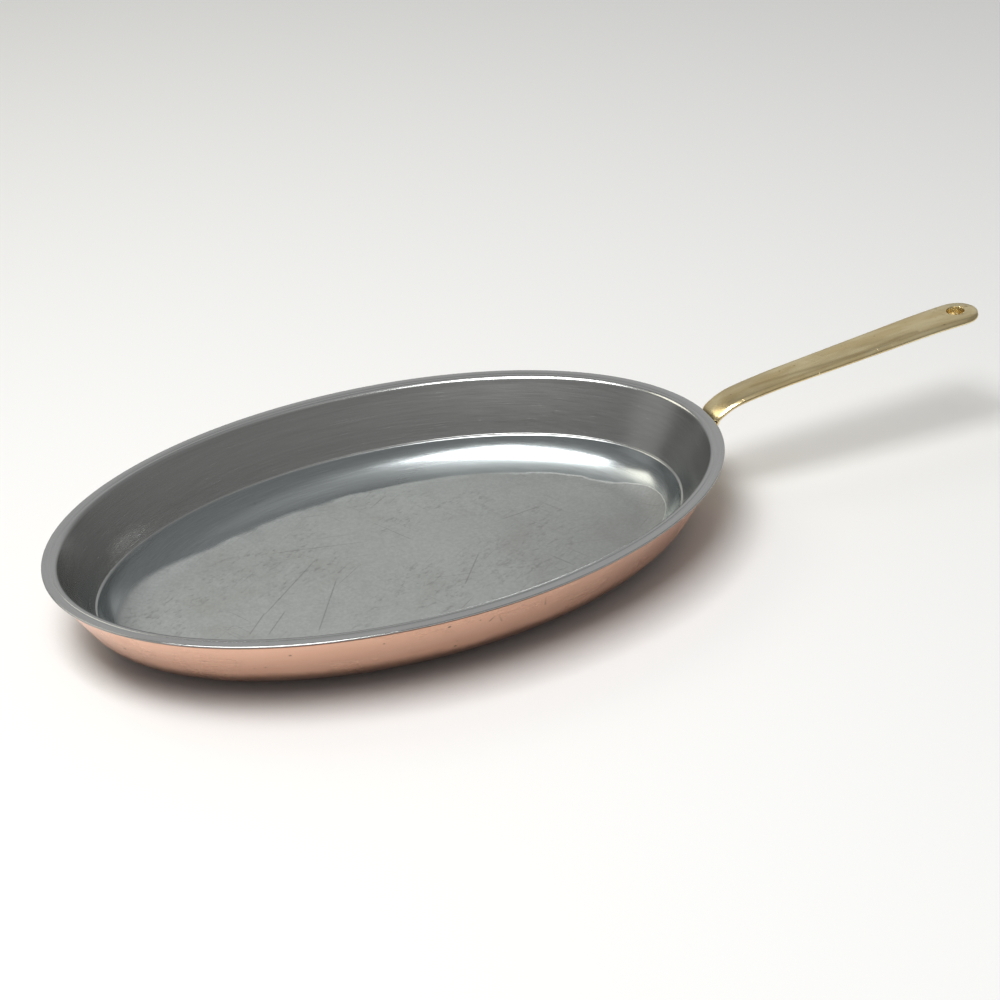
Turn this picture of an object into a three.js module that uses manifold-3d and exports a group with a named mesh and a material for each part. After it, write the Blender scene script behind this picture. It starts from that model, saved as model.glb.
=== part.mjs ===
import * as THREE from 'three';
import { mergeVertices } from 'three/addons/utils/BufferGeometryUtils.js';
import Module from 'manifold-3d';

// An oval copper fish pan with a steel lining and a brass handle.
// Millimetres, Z up, X along the handle. The origin is the centre of the underside.
// Each wall is drawn once as a profile of [inset, height] points, where the inset is the
// distance in from the edge of the rim, and the profile is then carried round the oval.

// Driving dimensions of the pan
const RIM_LENGTH = 360;
const RIM_WIDTH = 241.6;
const PAN_HEIGHT = 45;
const STEEL = 1;
const COPPER = 1.2;
const SEAT_GAP = 0.3;
const RIM_FLAT = 7;
const RIM_EDGE_RADIUS = 1.6;
const LEDGE_INSET = 22.5;
const LEDGE_HEIGHT = 13.6;
const LEDGE_WIDTH = 1.9;
const LEDGE_FALL = 0.4;
const LINING_FLOOR_INSET = 45.5;
const JACKET_INSET = 1.6;
const JACKET_RUN = 23.925;
const JACKET_CORNER = 35.5;
const SLICES = 80;
const EDGE_STEPS = 3;
const CORNER_STEPS = 6;

// Driving dimensions of the handle
const STRAP_THICKNESS_START = 3.4;
const STRAP_THICKNESS_END = 4.6;
const STRAP_WIDTH_START = 18.2;
const STRAP_WIDTH_END = 24.8;
const STRAP_FULLNESS = 2.6;
const ROOT_LENGTH = 14;
const ROOT_WIDTH = 19.6;
const ROOT_THICKNESS = 5;
const TIP_THINNING = 0.25;
const TIP_CUT = THREE.MathUtils.degToRad(6);
const TIP_STEPS = 8;
const HANG_HOLE_TOP = 10;
const HANG_HOLE_BOTTOM = 7.8;
const HANG_HOLE_CHAMFER = 0.5;
const STRAP_SIDES = 24;

// The strap's centre line, given as [beyond the end of the rim, above the rim].
const ROOT_START = [-9.1, -16.4];
const ROOT_CORNER = [0.2, -6.9];
const BEND_START = [1.2, -1];
const BEND_CORNER = [1.5, 2.7];
const BEND_END = [7.8, 4.7];
const SWEEP_CORNER = [17.4, 8.35];
const REACH_START = [50, 12.2];
const REACH_END = [125, 20.65];
const TIP_CORNER = [150.8, 23.55];
const TIP = [163.3, 22.9];
const PATH_STEPS = [5, 9, 7, 4, 3];

// Driving dimensions of the mounting plate and its rivets
const PLATE_DROP = 14;
const PLATE_THICKNESS = 3;
const PLATE_MARGIN = 7;
const RIVET_ANGLE = THREE.MathUtils.degToRad(8);
const UPPER_RIVET_RISE = 4.5;
const LOWER_RIVET_DROP = 5.5;
const RIVET_SHANK = 5;
const RIVET_HEAD = 9;
const RIVET_HEAD_HEIGHT = 2.3;
const RIVET_TAIL = 7.4;
const RIVET_TAIL_HEIGHT = 0.8;
const RIVET_CLEARANCE = 0.3;
const RIVET_SIDES = 20;
const OUTLINE_STEPS = 8;

// Points closer than this count as one
const WELD_DISTANCE = 1e-4;

// Sizes that follow from the ones above
const HALF_LENGTH = RIM_LENGTH / 2;
const HALF_WIDTH = RIM_WIDTH / 2;
const INSIDE_FLOOR = COPPER + SEAT_GAP + STEEL;
const JACKET_TOP = PAN_HEIGHT - STEEL - SEAT_GAP;
const JACKET_SLOPE = Math.atan2(JACKET_TOP, JACKET_RUN);
const PLATE_HEIGHT = PAN_HEIGHT - PLATE_DROP;
const TIP_RADIUS = STRAP_WIDTH_END / 2;
const CUT_DEPTH = 6 * (COPPER + PLATE_THICKNESS);

const wasm = await Module();
wasm.setup();

const lining = new THREE.MeshStandardMaterial({
  name: 'brushed_steel',
  color: 0x9a9f9b,
  roughness: 0.34,
  metalness: 1,
});
const copper = new THREE.MeshStandardMaterial({
  name: 'copper_sheet',
  color: 0xcb9d84,
  roughness: 0.3,
  metalness: 1,
});
const brass = new THREE.MeshStandardMaterial({
  name: 'cast_brass',
  color: 0xb39c73,
  roughness: 0.32,
  metalness: 1,
});

// Joins the vertices that coincide and drops the triangles that this leaves empty.
function weld(geometry) {
  const bare = geometry.clone();
  bare.deleteAttribute('normal');
  bare.deleteAttribute('uv');
  const merged = mergeVertices(bare, WELD_DISTANCE);
  const index = merged.index.array;
  const kept = [];
  for (let i = 0; i < index.length; i += 3) {
    const [a, b, c] = [index[i], index[i + 1], index[i + 2]];
    if (a !== b && b !== c && c !== a) kept.push(a, b, c);
  }
  merged.setIndex(kept);
  return merged;
}

function toSolid(geometry) {
  const welded = weld(geometry);
  return new wasm.Manifold(new wasm.Mesh({
    numProp: 3,
    vertProperties: new Float32Array(welded.attributes.position.array),
    triVerts: new Uint32Array(welded.index.array),
  }));
}

function toGeometry(solid) {
  const { vertProperties, triVerts } = solid.getMesh();
  const geometry = new THREE.BufferGeometry();
  geometry.setAttribute('position', new THREE.BufferAttribute(new Float32Array(vertProperties), 3));
  geometry.setIndex(new THREE.BufferAttribute(new Uint32Array(triVerts), 1));
  geometry.computeVertexNormals();
  return geometry;
}

// The outward direction of the rim's ellipse at an angle, in the XY plane.
function rimNormal(angle) {
  const normal = new THREE.Vector2(Math.cos(angle) / HALF_LENGTH, Math.sin(angle) / HALF_WIDTH);
  return normal.normalize();
}

// The point that lies a given distance in from the edge of the rim, square to that edge.
function ovalPoint(angle, inset, height) {
  const out = rimNormal(angle);
  return new THREE.Vector3(
    HALF_LENGTH * Math.cos(angle) - inset * out.x,
    HALF_WIDTH * Math.sin(angle) - inset * out.y,
    height,
  );
}

// Carries a profile round the oval. An inset of HALF_LENGTH is the middle of the pan.
function ovalLathe(profile) {
  const points = profile.map(([inset, height]) => new THREE.Vector2(HALF_LENGTH - inset, height));
  const geometry = new THREE.LatheGeometry(points, SLICES);
  const position = geometry.attributes.position;
  for (let i = 0; i < position.count; i += 1) {
    const angle = Math.atan2(position.getX(i), position.getZ(i));
    const radius = Math.hypot(position.getX(i), position.getZ(i));
    const height = position.getY(i);
    const middle = new THREE.Vector3(0, 0, height);
    const point = radius < WELD_DISTANCE ? middle : ovalPoint(angle, HALF_LENGTH - radius, height);
    position.setXYZ(i, point.x, point.y, point.z);
  }
  return geometry;
}

// Moves a profile square to itself. A positive distance goes up into the pan.
function offsetProfile(profile, distance) {
  const points = profile.map(([inset, height]) => new THREE.Vector2(inset, height));
  return points.map((point, i) => {
    const before = points[Math.max(i, 1)].clone().sub(points[Math.max(i, 1) - 1]);
    const last = points.length - 1;
    const after = points[Math.min(i + 1, last)].clone().sub(points[Math.min(i, last - 1)]);
    const mitre = before.normalize().add(after.normalize()).normalize();
    const stretch = distance / mitre.dot(after);
    return [point.x - mitre.y * stretch, point.y + mitre.x * stretch];
  });
}

// A round corner that starts at a slope and runs level into a floor.
function floorCorner(radius, startSlope, floorInset, floorHeight) {
  const points = [];
  for (let i = 0; i <= CORNER_STEPS; i += 1) {
    const slope = startSlope * (1 - i / CORNER_STEPS);
    points.push([
      floorInset - radius * Math.sin(slope),
      floorHeight + radius * (1 - Math.cos(slope)),
    ]);
  }
  return points;
}

// The lining's upper side: flat rim, rounded edge, sloping wall, narrow ledge, corner and floor.
function liningProfile() {
  const ledgeHeight = INSIDE_FLOOR + LEDGE_HEIGHT;
  const wallSlope = Math.atan2(PAN_HEIGHT - ledgeHeight, LEDGE_INSET - RIM_FLAT);
  const edgeInset = RIM_FLAT - RIM_EDGE_RADIUS * Math.tan(wallSlope / 2);
  const points = [[0, PAN_HEIGHT]];
  for (let i = 0; i <= EDGE_STEPS; i += 1) {
    const turn = (wallSlope * i) / EDGE_STEPS;
    points.push([
      edgeInset + RIM_EDGE_RADIUS * Math.sin(turn),
      PAN_HEIGHT - RIM_EDGE_RADIUS * (1 - Math.cos(turn)),
    ]);
  }
  points.push([LEDGE_INSET, ledgeHeight]);
  const fall = LEDGE_HEIGHT - LEDGE_FALL;
  const run = LINING_FLOOR_INSET - LEDGE_INSET - LEDGE_WIDTH;
  const radius = (run * run + fall * fall) / (2 * fall);
  const corner = floorCorner(radius, Math.asin(run / radius), LINING_FLOOR_INSET, INSIDE_FLOOR);
  return [...points, ...corner, [HALF_LENGTH, INSIDE_FLOOR]];
}

// The jacket's outer side: straight wall, large round corner, flat underside. JACKET_RUN is
// how far the straight wall would lean in by the time that it reached the underside.
function jacketProfile() {
  const floorInset = JACKET_INSET + JACKET_RUN + JACKET_CORNER * Math.tan(JACKET_SLOPE / 2);
  const corner = floorCorner(JACKET_CORNER, JACKET_SLOPE, floorInset, 0);
  return [[JACKET_INSET, JACKET_TOP], ...corner, [HALF_LENGTH, 0]];
}

// The inner side of the copper, with its upper edge cut level under the rim.
function jacketInside() {
  const [, ...inside] = offsetProfile(jacketProfile(), COPPER);
  const edge = [JACKET_INSET + COPPER / Math.sin(JACKET_SLOPE), JACKET_TOP];
  return [edge, ...inside];
}

// A closed sheet between its upper side and its lower side, both drawn from the rim inward.
function sheet(upper, lower) {
  return ovalLathe([...[...lower].reverse(), ...upper]);
}

// A place on the jacket's outer wall: Z points out of the copper and Y up the slope.
function wallFrame(angle, height) {
  const inset = JACKET_INSET + (JACKET_TOP - height) / Math.tan(JACKET_SLOPE);
  const flat = rimNormal(angle);
  const side = new THREE.Vector3(-flat.y, flat.x, 0);
  const out = new THREE.Vector3(flat.x, flat.y, 0).multiplyScalar(Math.sin(JACKET_SLOPE));
  out.z = -Math.cos(JACKET_SLOPE);
  const up = out.clone().cross(side);
  const frame = new THREE.Matrix4().makeBasis(side, up, out);
  return frame.setPosition(ovalPoint(angle, inset, height));
}

// Where the three rivets sit: one each side of the strap and one below it.
function rivetFrames() {
  const rise = Math.sin(JACKET_SLOPE);
  const upper = PLATE_HEIGHT + UPPER_RIVET_RISE * rise;
  const lower = PLATE_HEIGHT - LOWER_RIVET_DROP * rise;
  return {
    rivet_left: wallFrame(RIVET_ANGLE, upper),
    rivet_right: wallFrame(-RIVET_ANGLE, upper),
    rivet_lower: wallFrame(0, lower),
  };
}

function rivetHoles() {
  const radius = RIVET_SHANK / 2 + RIVET_CLEARANCE;
  return Object.values(rivetFrames()).map((frame) => {
    const drill = new THREE.CylinderGeometry(radius, radius, CUT_DEPTH, RIVET_SIDES);
    return toSolid(drill.rotateX(Math.PI / 2).applyMatrix4(frame));
  });
}

function drilled(solid) {
  return rivetHoles().reduce((rest, hole) => rest.subtract(hole), solid);
}

function jacketGeometry() {
  return toGeometry(drilled(toSolid(sheet(jacketInside(), jacketProfile()))));
}

// The angle that faces away from a rounded outline's straight side.
function sideAngle(from, to) {
  return Math.atan2(from.x - to.x, to.y - from.y);
}

// A rounded triangle round the three rivets, drawn in the plane of the wall.
function plateOutline() {
  const home = wallFrame(0, PLATE_HEIGHT).invert();
  const frames = rivetFrames();
  const centres = [frames.rivet_lower, frames.rivet_left, frames.rivet_right].map((frame) => (
    new THREE.Vector3().setFromMatrixPosition(frame).applyMatrix4(home)
  ));
  const outline = new THREE.Shape();
  centres.forEach((centre, i) => {
    const start = sideAngle(centres[(i + 2) % 3], centre);
    const end = sideAngle(centre, centres[(i + 1) % 3]);
    outline.absarc(centre.x, centre.y, PLATE_MARGIN, start, end, false);
  });
  return outline;
}

// The mounting plate: a layer that follows the copper wall, cut to the outline.
function plateSolid() {
  const back = offsetProfile(jacketProfile(), -SEAT_GAP);
  const face = offsetProfile(jacketProfile(), -SEAT_GAP - PLATE_THICKNESS);
  const outline = new THREE.ExtrudeGeometry(plateOutline(), {
    depth: CUT_DEPTH,
    curveSegments: OUTLINE_STEPS,
    bevelEnabled: false,
  });
  outline.translate(0, 0, -CUT_DEPTH / 2).applyMatrix4(wallFrame(0, PLATE_HEIGHT));
  return toSolid(sheet(back, face)).intersect(toSolid(outline));
}

// The room that the handle leaves to the pan: inside the copper and round the edge of the rim.
function panRoom() {
  const wall = offsetProfile(jacketProfile(), -SEAT_GAP);
  wall[0] = [wall[0][0], JACKET_TOP - SEAT_GAP];
  const above = PAN_HEIGHT + STRAP_THICKNESS_END;
  return toSolid(ovalLathe([
    ...wall.reverse(),
    [-SEAT_GAP, JACKET_TOP - SEAT_GAP],
    [-SEAT_GAP, above],
    [HALF_LENGTH, above],
  ]));
}

function pathPoint([beyondRim, aboveRim]) {
  return new THREE.Vector3(HALF_LENGTH + beyondRim, 0, PAN_HEIGHT + aboveRim);
}

// The strap's centre line: up the wall, past the edge of the rim, out, and level at the tip.
function strapPath() {
  const path = new THREE.CurvePath();
  const bend = (start, corner, end) => (
    new THREE.QuadraticBezierCurve3(pathPoint(start), pathPoint(corner), pathPoint(end))
  );
  path.add(bend(ROOT_START, ROOT_CORNER, BEND_START));
  path.add(bend(BEND_START, BEND_CORNER, BEND_END));
  path.add(bend(BEND_END, SWEEP_CORNER, REACH_START));
  path.add(new THREE.LineCurve3(pathPoint(REACH_START), pathPoint(REACH_END)));
  path.add(bend(REACH_END, TIP_CORNER, TIP));
  return path;
}

// Where the strap's sections lie along the path. They close up round the tip.
function strapStations(path) {
  const ends = path.getCurveLengths();
  const tipStart = path.getLength() - TIP_RADIUS;
  const stations = [0];
  ends.forEach((end, k) => {
    const start = k === 0 ? 0 : ends[k - 1];
    for (let i = 1; i <= PATH_STEPS[k]; i += 1) {
      stations.push(THREE.MathUtils.lerp(start, Math.min(end, tipStart), i / PATH_STEPS[k]));
    }
  });
  for (let i = 1; i <= TIP_STEPS; i += 1) {
    const turn = (Math.PI / 2 - TIP_CUT) * (i / TIP_STEPS);
    stations.push(tipStart + TIP_RADIUS * Math.sin(turn));
  }
  return stations;
}

// How far a place is into the round tip, from 0 to 1.
function tipShare(distance, length) {
  return Math.max(distance - length + TIP_RADIUS, 0) / TIP_RADIUS;
}

// A size of the strap that changes over the root and then evenly as far as the round tip.
function strapSize(distance, length, root, start, end) {
  const { clamp, lerp, smoothstep } = THREE.MathUtils;
  const reachShare = clamp((distance - ROOT_LENGTH) / (length - TIP_RADIUS - ROOT_LENGTH), 0, 1);
  return lerp(root, lerp(start, end, reachShare), smoothstep(distance, 0, ROOT_LENGTH));
}

function strapWidth(distance, length) {
  const width = strapSize(distance, length, ROOT_WIDTH, STRAP_WIDTH_START, STRAP_WIDTH_END);
  return width * Math.sqrt(1 - tipShare(distance, length) ** 2);
}

function strapThickness(distance, length) {
  const thickness = strapSize(
    distance,
    length,
    ROOT_THICKNESS,
    STRAP_THICKNESS_START,
    STRAP_THICKNESS_END,
  );
  return thickness * (1 - TIP_THINNING * tipShare(distance, length) ** 4);
}

// Rounds a share of a section's half size, so that the strap is a softened rectangle.
function softened(share) {
  return Math.sign(share) * Math.abs(share) ** (2 / STRAP_FULLNESS);
}

// A unit cylinder whose rings are laid along the path as the strap's sections.
function strapSolid(path) {
  const length = path.getLength();
  const stations = strapStations(path);
  const steps = stations.length - 1;
  const geometry = new THREE.CylinderGeometry(1, 1, 1, STRAP_SIDES, steps);
  const position = geometry.attributes.position;
  for (let i = 0; i < position.count; i += 1) {
    const distance = stations[Math.round((position.getY(i) + 0.5) * steps)];
    const centre = path.getPointAt(distance / length);
    const along = path.getTangentAt(distance / length);
    const side = softened(position.getX(i)) * strapWidth(distance, length) / 2;
    const up = softened(-position.getZ(i)) * strapThickness(distance, length) / 2;
    position.setXYZ(i, centre.x - along.z * up, side, centre.z + along.x * up);
  }
  return toSolid(geometry);
}

// The hanging hole's cutter. The hole narrows towards the underside, its upper edge is
// softened, and it shares its centre with the round tip.
function hangHole(path) {
  const length = path.getLength();
  const centre = path.getPointAt((length - TIP_RADIUS) / length);
  const along = path.getTangentAt((length - TIP_RADIUS) / length);
  const half = STRAP_THICKNESS_END / 2;
  const profile = [
    [0, -half - HANG_HOLE_CHAMFER],
    [HANG_HOLE_BOTTOM / 2, -half - HANG_HOLE_CHAMFER],
    [HANG_HOLE_BOTTOM / 2, -half],
    [HANG_HOLE_TOP / 2, half - HANG_HOLE_CHAMFER],
    [HANG_HOLE_TOP / 2 + 2 * HANG_HOLE_CHAMFER, half + HANG_HOLE_CHAMFER],
    [0, half + HANG_HOLE_CHAMFER],
  ].map(([x, y]) => new THREE.Vector2(x, y));
  const cutter = new THREE.LatheGeometry(profile, STRAP_SIDES).rotateX(Math.PI / 2);
  cutter.rotateY(-Math.atan2(along.z, along.x));
  return toSolid(cutter.translate(centre.x, centre.y, centre.z));
}

// The handle is one casting: strap and mounting plate together.
function handleGeometry() {
  const path = strapPath();
  const casting = strapSolid(path).subtract(panRoom()).add(plateSolid());
  return toGeometry(drilled(casting).subtract(hangHole(path)));
}

// A rivet along Z, with its place on the outer face of the copper at zero.
function rivetGeometry() {
  const face = SEAT_GAP + PLATE_THICKNESS + RIVET_CLEARANCE;
  const inside = -COPPER - RIVET_CLEARANCE;
  const head = RIVET_HEAD / 2;
  const profile = [
    [0, inside - RIVET_TAIL_HEIGHT],
    [RIVET_TAIL / 2 - RIVET_TAIL_HEIGHT / 2, inside - RIVET_TAIL_HEIGHT],
    [RIVET_TAIL / 2, inside],
    [RIVET_SHANK / 2, inside],
    [RIVET_SHANK / 2, face],
    [head, face],
  ].map(([x, y]) => new THREE.Vector2(x, y));
  for (let i = 1; i <= EDGE_STEPS; i += 1) {
    const turn = (Math.PI / 2) * (i / EDGE_STEPS);
    const radius = i === EDGE_STEPS ? 0 : head * Math.cos(turn);
    profile.push(new THREE.Vector2(radius, face + RIVET_HEAD_HEIGHT * Math.sin(turn)));
  }
  return new THREE.LatheGeometry(profile, RIVET_SIDES).rotateX(Math.PI / 2);
}

function addPiece(group, name, geometry, material) {
  const piece = new THREE.Mesh(geometry, material);
  piece.name = name;
  group.add(piece);
  return piece;
}

const pan = new THREE.Group();
pan.name = 'oval_pan';
addPiece(pan, 'steel_lining', sheet(liningProfile(), offsetProfile(liningProfile(), -STEEL)), lining);
addPiece(pan, 'copper_jacket', jacketGeometry(), copper);
addPiece(pan, 'handle', handleGeometry(), brass);
Object.entries(rivetFrames()).forEach(([name, frame]) => {
  addPiece(pan, name, rivetGeometry(), brass).applyMatrix4(frame);
});

export default pan;
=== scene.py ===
"""Oval copper fish pan: a steel lining in a copper jacket, with a cast brass handle.

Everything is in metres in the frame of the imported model: the origin is the centre of the
underside, X runs along the handle and Z points up.
"""
import logging
import math
from dataclasses import dataclass
from enum import Enum
from functools import reduce
from typing import Callable

import bmesh
import bpy
from mathutils import Matrix, Vector

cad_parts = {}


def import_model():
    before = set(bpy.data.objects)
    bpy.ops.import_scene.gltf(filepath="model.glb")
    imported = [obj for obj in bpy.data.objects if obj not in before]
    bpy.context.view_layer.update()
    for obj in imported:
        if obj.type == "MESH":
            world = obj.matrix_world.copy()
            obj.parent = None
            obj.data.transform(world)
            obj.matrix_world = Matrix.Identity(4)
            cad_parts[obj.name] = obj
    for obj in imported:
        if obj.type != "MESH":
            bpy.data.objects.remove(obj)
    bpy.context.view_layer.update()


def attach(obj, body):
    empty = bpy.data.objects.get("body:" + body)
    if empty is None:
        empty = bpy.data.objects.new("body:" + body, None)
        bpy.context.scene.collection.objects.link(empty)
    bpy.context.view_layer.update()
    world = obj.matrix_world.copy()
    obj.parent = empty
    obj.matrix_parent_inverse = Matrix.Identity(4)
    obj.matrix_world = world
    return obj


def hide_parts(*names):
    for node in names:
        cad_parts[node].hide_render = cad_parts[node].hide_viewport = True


LOG = logging.getLogger("oval_pan")
MM = 0.001
ROUND_STEPS = 288

# A face looks up or down where its normal's Z is past this.
LEVEL = 0.7

Point = tuple[float, float, float]
Colour = tuple[float, float, float]
Span = tuple[float, float]
Profile = list[tuple[float, float]]
Socket = bpy.types.NodeSocket

# The start and the end of a straight scratch in millimetres, with or without their heights.
Stroke = tuple[float, ...]


class Slot(Enum):
    """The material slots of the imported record."""

    STEEL = "brushed_steel"
    COPPER = "copper_sheet"
    BRASS = "cast_brass"


class MeshPart(Enum):
    """What is selected in edit mode, by Blender's name for it."""

    FACES = "FACE"
    EDGES = "EDGE"


class Mixing(Enum):
    """How one colour is laid over another, by Blender's name for it."""

    PLAIN = "MIX"
    OVERLAY = "OVERLAY"


@dataclass(frozen=True)
class Oval:
    """The oval of the rim, with every other line of the pan as an inset from it."""

    half_length: float = 180 * MM
    half_width: float = 120.8 * MM
    mean_half: float = 150 * MM
    height: float = 45 * MM
    wall_slope: float = math.radians(61.3)
    wall_inset: float = 1.6 * MM
    wall_top: float = 43.7 * MM

    def place(self, angle: float, inset: float, height: float) -> Vector:
        """Find the point that lies an inset in from the rim, square to its edge.

        Args:
            angle: The point's angle round the oval.
            inset: Its distance in from the rim.
            height: Its height.

        Returns:
            The point.
        """
        out = self.outward(angle)
        return Vector((
            self.half_length * math.cos(angle) - inset * out.x,
            self.half_width * math.sin(angle) - inset * out.y,
            height,
        ))

    def outward(self, angle: float) -> Vector:
        """Return the rim's level outward direction at an angle."""
        out = (math.cos(angle) / self.half_length, math.sin(angle) / self.half_width, 0)
        return Vector(out).normalized()

    def wall_frame(self, angle: float, height: float) -> Matrix:
        """Find a place on the copper's outer wall.

        Args:
            angle: The place's angle round the oval.
            height: Its height.

        Returns:
            A frame with X along the wall, Y up the slope and Z out of the copper.
        """
        inset = self.wall_inset + (self.wall_top - height) / math.tan(self.wall_slope)
        level = self.outward(angle)
        side = Vector((-level.y, level.x, 0))
        out = level * math.sin(self.wall_slope) - Vector((0, 0, math.cos(self.wall_slope)))
        frame = Matrix((side, out.cross(side), out)).transposed().to_4x4()
        frame.translation = self.place(angle, inset, height)
        return frame


# Hand tools


def clear_selection() -> None:
    """Leave edit mode and deselect every object."""
    if bpy.context.object and bpy.context.object.mode != "OBJECT":
        bpy.ops.object.mode_set(mode="OBJECT")
    bpy.ops.object.select_all(action="DESELECT")


def take(*pieces: bpy.types.Object) -> None:
    """Select only these pieces and make the first one active.

    Args:
        *pieces: The objects to work on.
    """
    clear_selection()
    for piece in pieces:
        piece.select_set(True)
    bpy.context.view_layer.objects.active = pieces[0]


def open_mesh(piece: bpy.types.Object) -> None:
    """Enter edit mode on one piece with everything in it selected.

    Args:
        piece: The piece to edit.
    """
    take(piece)
    bpy.ops.object.mode_set(mode="EDIT")
    bpy.ops.mesh.select_mode(type="VERT")
    bpy.ops.mesh.select_all(action="SELECT")


def close_mesh() -> None:
    """Leave edit mode."""
    bpy.ops.object.mode_set(mode="OBJECT")


def close_shell() -> None:
    """Turn every face of the open mesh outwards and leave edit mode."""
    bpy.ops.mesh.select_all(action="SELECT")
    bpy.ops.mesh.normals_make_consistent(inside=False)
    close_mesh()


def choose(
    piece: bpy.types.Object, kind: MeshPart,
    wanted: Callable[[bmesh.types.BMFace | bmesh.types.BMEdge], bool],
) -> None:
    """In edit mode, select the faces or the edges that pass a test.

    Args:
        piece: The piece in edit mode.
        kind: Whether faces or edges are tested.
        wanted: The test, given one of them.
    """
    bpy.ops.mesh.select_mode(type=kind.value)
    bpy.ops.mesh.select_all(action="DESELECT")
    mesh = bmesh.from_edit_mesh(piece.data)
    for part in mesh.faces if kind is MeshPart.FACES else mesh.edges:
        if wanted(part):
            part.select_set(True)
    bmesh.update_edit_mesh(piece.data)


def modify(piece: bpy.types.Object, kind: str, **settings: object) -> None:
    """Add a modifier to a piece and apply it.

    Args:
        piece: The object to change.
        kind: Blender's type name of the modifier.
        **settings: The modifier's own properties.
    """
    take(piece)
    modifier = piece.modifiers.new(kind.lower(), kind)
    for key, value in settings.items():
        setattr(modifier, key, value)
    bpy.ops.object.modifier_apply(modifier=modifier.name)


def thicken(sheet: bpy.types.Object, thickness: float, side: int) -> None:
    """Make a sheet solid, on the side that its faces look to (1) or behind them (-1)."""
    modify(sheet, "SOLIDIFY", thickness=thickness, offset=side, use_even_offset=True)


def soften(piece: bpy.types.Object, width: float, sharpest: float) -> None:
    """Round the edges of a piece.

    Args:
        piece: The object to change.
        width: The width of the rounding.
        sharpest: The angle in degrees past which an edge is rounded.
    """
    modify(
        piece, "BEVEL", width=width, segments=4, limit_method="ANGLE",
        angle_limit=math.radians(sharpest),
    )


def fix_place() -> None:
    """Apply the place, turn and scale of the selected piece to its mesh."""
    bpy.ops.object.transform_apply(location=True, rotation=True, scale=True)


def settle(piece: bpy.types.Object, name: str, smooth: float = 34) -> bpy.types.Object:
    """Apply a piece's place to its mesh, name it and smooth its shading.

    Args:
        piece: The finished object.
        name: Its name, which its mesh takes too.
        smooth: The sharpest angle in degrees that is still shaded smooth.

    Returns:
        The same object.
    """
    take(piece)
    fix_place()
    bpy.ops.object.shade_smooth_by_angle(angle=math.radians(smooth))
    piece.name = name
    piece.data.name = name
    return piece


def discard(*helpers: bpy.types.Object) -> None:
    """Remove the objects that only helped to shape a piece."""
    for helper in helpers:
        bpy.data.objects.remove(helper, do_unlink=True)


def hand_over(
    piece: bpy.types.Object, material: bpy.types.Material, node: str
) -> None:
    """Give a finished piece its material and let it stand for its CAD node.

    Args:
        piece: The finished piece.
        material: Its material.
        node: The CAD node that it replaces.
    """
    piece.data.materials.clear()
    piece.data.materials.append(material)
    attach(piece, "root")
    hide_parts(node)


def rounded(corners: list[tuple[float, float, float]], steps: int = 6) -> Profile:
    """Turn a polyline's corners into arcs.

    Args:
        corners: Points as (inset, height, radius), with a radius of 0 for a sharp point.
        steps: Straight pieces in each arc.

    Returns:
        The profile's points.
    """
    points: Profile = []
    for i, (x, y, radius) in enumerate(corners):
        if radius == 0:
            points.append((x, y))
            continue
        here = Vector((x, y))
        back = (Vector(corners[i - 1][:2]) - here).normalized()
        ahead = (Vector(corners[i + 1][:2]) - here).normalized()
        half = back.angle(ahead) / 2
        reach = radius / math.tan(half)
        centre = here + (back + ahead).normalized() * (radius / math.sin(half))
        first = here + back * reach - centre
        turn = first.angle_signed(here + ahead * reach - centre)
        for k in range(steps + 1):
            spoke = Matrix.Rotation(-turn * k / steps, 2) @ first
            points.append((centre.x + spoke.x, centre.y + spoke.y))
    return points


def floor_corner(
    radius: float, slope: float, floor_inset: float, floor: float, steps: int
) -> Profile:
    """Draw a round corner that starts at a slope and ends level.

    Args:
        radius: The corner's radius.
        slope: The angle at which it starts, from the level.
        floor_inset: The inset at which it becomes level.
        floor: The height of the floor.
        steps: Straight pieces in the arc.

    Returns:
        The corner's points, from the wall to the floor.
    """
    angles = [slope * (1 - i / steps) for i in range(steps + 1)]
    return [
        (floor_inset - radius * math.sin(a), floor + radius * (1 - math.cos(a)))
        for a in angles
    ]


def nested_ovals(oval: Oval, profile: Profile) -> bpy.types.Object:
    """Model a bowl from one oval face, by inset after inset.

    Args:
        oval: The oval of the rim.
        profile: Points as (inset from the rim, height), from the edge inwards.

    Returns:
        An open sheet whose faces look up into the bowl.
    """
    clear_selection()
    inset, height = profile[0]
    bpy.ops.mesh.primitive_circle_add(vertices=ROUND_STEPS, radius=1, fill_type="NGON")
    bowl = bpy.context.object
    open_mesh(bowl)
    bpy.ops.transform.resize(value=(oval.half_length - inset, oval.half_width - inset, 1))
    bpy.ops.transform.translate(value=(0, 0, height))
    for (inset, height), (next_inset, next_height) in zip(profile, profile[1:]):
        bpy.ops.mesh.inset(
            thickness=next_inset - inset,
            depth=next_height - height,
            use_even_offset=True,
            use_boundary=True,
        )
    close_mesh()
    return bowl


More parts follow.
